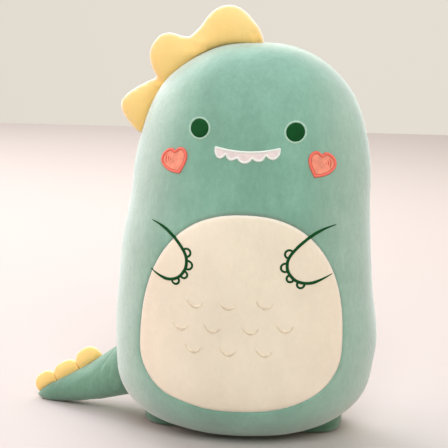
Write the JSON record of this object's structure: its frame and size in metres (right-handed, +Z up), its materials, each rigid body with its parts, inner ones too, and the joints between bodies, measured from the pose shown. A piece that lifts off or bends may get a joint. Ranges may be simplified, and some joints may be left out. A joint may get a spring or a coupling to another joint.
{
  "type": "stuffed dinosaur pillow",
  "caption": "Upright pillow-shaped stuffed dinosaur with a cream belly, stitched face and arms, a lobed crest, a spined tail and two small feet.",
  "frame": {"origin": "middle of the flat patch that the body rests on", "axes": "+Z up along the body, -Y the way the face looks, +X the viewer's right when facing it"},
  "size_m": [0.4675, 0.1994, 0.5444],
  "materials": {
    "body_velour": "short-pile sage green velour",
    "foot_velour": "short-pile sage green velour",
    "belly_velour": "short-pile cream velour",
    "crest_velour": "short-pile pale yellow velour",
    "spine_velour": "short-pile warm yellow velour",
    "dark_thread": "satin stitch in dark green thread",
    "belly_thread": "tone on tone satin stitch",
    "cheek_felt": "coral felt with stitched edge",
    "tooth_felt": "off-white felt with stitched edge",
    "filling_fibre": "white polyester fibre"
  },
  "bodies": {
    "body": {"body_front_panel": "body_velour", "body_back_panel": "body_velour", "body_filling": "filling_fibre", "belly_panel": "belly_velour", "eye_left": "dark_thread", "eye_right": "dark_thread", "arm_left": "dark_thread", "arm_right": "dark_thread", "claw_left_1": "dark_thread", "claw_left_2": "dark_thread", "claw_left_3": "dark_thread", "claw_left_4": "dark_thread", "claw_right_1": "dark_thread", "claw_right_2": "dark_thread", "claw_right_3": "dark_thread", "claw_right_4": "dark_thread", "cheek_left": "cheek_felt", "cheek_right": "cheek_felt", "teeth": "tooth_felt", "belly_scale_01": "belly_thread", "belly_scale_02": "belly_thread", "belly_scale_03": "belly_thread", "belly_scale_04": "belly_thread", "belly_scale_05": "belly_thread", "belly_scale_06": "belly_thread", "belly_scale_07": "belly_thread", "belly_scale_08": "belly_thread", "belly_scale_09": "belly_thread", "belly_scale_10": "belly_thread"},
    "tail": {"tail_front_panel": "body_velour", "tail_back_panel": "body_velour", "tail_filling": "filling_fibre", "tail_spine_1": "spine_velour", "tail_spine_2": "spine_velour", "tail_spine_3": "spine_velour"},
    "crest": {"crest_filling": "filling_fibre", "crest_front_panel": "crest_velour", "crest_back_panel": "crest_velour"},
    "foot_left": {"foot_left_filling": "filling_fibre", "foot_left_upper": "foot_velour", "foot_left_sole": "foot_velour"},
    "foot_right": {"foot_right_filling": "filling_fibre", "foot_right_upper": "foot_velour", "foot_right_sole": "foot_velour"}
  },
  "joints": [
    {"name": "tail_swing", "type": "hinge", "parent": "body", "child": "tail", "pos_m": [-0.152, 0.04, 0.055], "axis": [0, 0, 1], "range_deg": [-18, 18], "stiffness_Nm_per_rad": 0.12},
    {"name": "crest_flop", "type": "hinge", "parent": "body", "child": "crest", "pos_m": [-0.069, 0.006, 0.4557], "axis": [-0.7896, 0, -0.6136], "range_deg": [-15, 15], "stiffness_Nm_per_rad": 0.08},
    {"name": "foot_left_splay", "type": "hinge", "parent": "body", "child": "foot_left", "pos_m": [-0.054, 0.026, 0.009], "axis": [0, 0, 1], "range_deg": [-7, 7], "stiffness_Nm_per_rad": 0.05},
    {"name": "foot_right_splay", "type": "hinge", "parent": "body", "child": "foot_right", "pos_m": [0.054, 0.026, 0.009], "axis": [0, 0, 1], "range_deg": [-7, 7], "stiffness_Nm_per_rad": 0.05}
  ]
}
